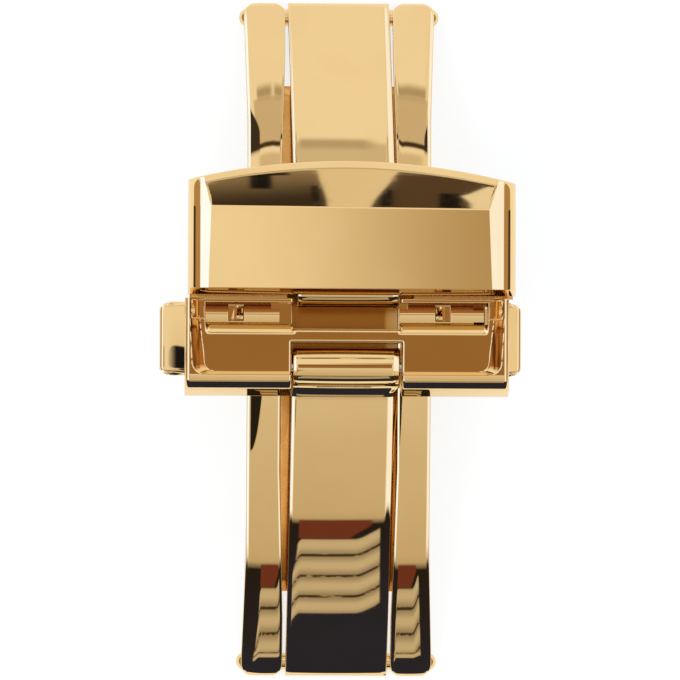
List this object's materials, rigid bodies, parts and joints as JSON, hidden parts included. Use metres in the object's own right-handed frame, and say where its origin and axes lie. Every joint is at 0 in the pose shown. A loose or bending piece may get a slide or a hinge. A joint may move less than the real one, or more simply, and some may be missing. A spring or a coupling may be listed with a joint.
{
  "type": "deployant clasp",
  "caption": "Closed double-fold deployant clasp for a watch strap: arched base, two folding blades, crowned strap cover and a catch box with side push buttons.",
  "frame": {"origin": "on the surface that the closed clasp lies on, under the middle of its bounding box", "axes": "+Y along the strap towards the cover, +Z away from the wrist, +X across the strap"},
  "size_m": [0.0216, 0.0408, 0.012],
  "materials": {
    "polished_gold": "mirror polished",
    "polished_steel": "polished",
    "spring_steel": "drawn wire"
  },
  "bodies": {
    "base": {"base_frame": "polished_gold", "upper_hinge_pin": "polished_gold", "lower_hinge_pin": "polished_gold", "catch_post_left": "polished_gold", "catch_post_right": "polished_gold", "snap_stud": "polished_steel"},
    "upper_blade": {"upper_blade": "polished_gold"},
    "lower_blade": {"lower_blade": "polished_gold"},
    "cover": {"cover_plate": "polished_gold", "cover_pin": "polished_steel", "strap_bar_tube": "polished_steel", "strap_bar_spring": "spring_steel"},
    "strap_tip_left": {"strap_bar_tip_left": "polished_steel"},
    "strap_tip_right": {"strap_bar_tip_right": "polished_steel"},
    "catch_box": {"catch_box": "polished_gold", "catch_box_pin": "polished_steel", "bottom_plate": "polished_gold", "plate_screws": "polished_steel", "button_spring_left": "spring_steel", "button_spring_right": "spring_steel"},
    "button_left": {"button_left": "polished_gold", "plunger_left": "polished_gold", "guide_pin_left": "polished_steel"},
    "button_right": {"button_right": "polished_gold", "plunger_right": "polished_gold", "guide_pin_right": "polished_steel"}
  },
  "joints": [
    {"name": "upper_blade_hinge", "type": "hinge", "parent": "base", "child": "upper_blade", "pos_m": [0, 0.0195, 0.00088], "axis": [-1, 0, 0], "range_deg": [0, 150]},
    {"name": "lower_blade_hinge", "type": "hinge", "parent": "base", "child": "lower_blade", "pos_m": [0, -0.0195, 0.00088], "axis": [1, 0, 0], "range_deg": [0, 150]},
    {"name": "cover_hinge", "type": "hinge", "parent": "upper_blade", "child": "cover", "pos_m": [0, 0.00295, 0.00957], "axis": [1, 0, 0], "range_deg": [0, 5]},
    {"name": "catch_box_hinge", "type": "hinge", "parent": "lower_blade", "child": "catch_box", "pos_m": [0, -0.0018, 0.00957], "axis": [1, 0, 0], "range_deg": [0, 35]},
    {"name": "button_left_slide", "type": "slide", "parent": "catch_box", "child": "button_left", "axis": [1, 0, 0], "range_m": [0, 0.00045], "stiffness_N_per_m": 250, "springref_m": -0.0005, "deforming": ["button_spring_left"]},
    {"name": "button_right_slide", "type": "slide", "parent": "catch_box", "child": "button_right", "axis": [-1, 0, 0], "range_m": [0, 0.00045], "stiffness_N_per_m": 250, "springref_m": -0.0005, "deforming": ["button_spring_right"]},
    {"name": "strap_tip_left_slide", "type": "slide", "parent": "cover", "child": "strap_tip_left", "axis": [1, 0, 0], "range_m": [0, 0.0006], "stiffness_N_per_m": 200, "springref_m": -0.0005, "deforming": ["strap_bar_spring"]},
    {"name": "strap_tip_right_slide", "type": "slide", "parent": "cover", "child": "strap_tip_right", "axis": [-1, 0, 0], "range_m": [0, 0.0006], "stiffness_N_per_m": 200, "springref_m": -0.0005}
  ]
}
